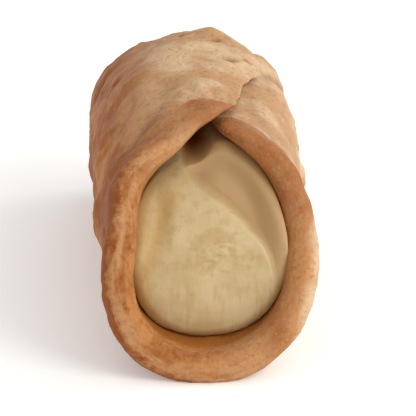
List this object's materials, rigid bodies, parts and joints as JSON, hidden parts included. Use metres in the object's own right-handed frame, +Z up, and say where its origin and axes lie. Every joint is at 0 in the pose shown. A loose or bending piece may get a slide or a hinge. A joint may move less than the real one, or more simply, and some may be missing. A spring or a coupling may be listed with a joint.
{
  "type": "cannolo",
  "caption": "Fried pastry tube rolled from an oval sheet with a lapped seam, filled with pale cream from mouth to mouth.",
  "frame": {"origin": "under the middle of the whole, on the surface it rests on", "axes": "+Y along the tube from the fuller mouth to the other, +Z up through the lapped seam"},
  "size_m": [0.038, 0.083, 0.0399],
  "materials": {
    "dough": "fried, blistered, faintly greasy crust, darker along its edges and folds",
    "cream": "smooth, satin, scraped with a spatula at the mouths"
  },
  "bodies": {
    "root": {"shell": "dough", "cream": "cream"}
  },
  "joints": []
}
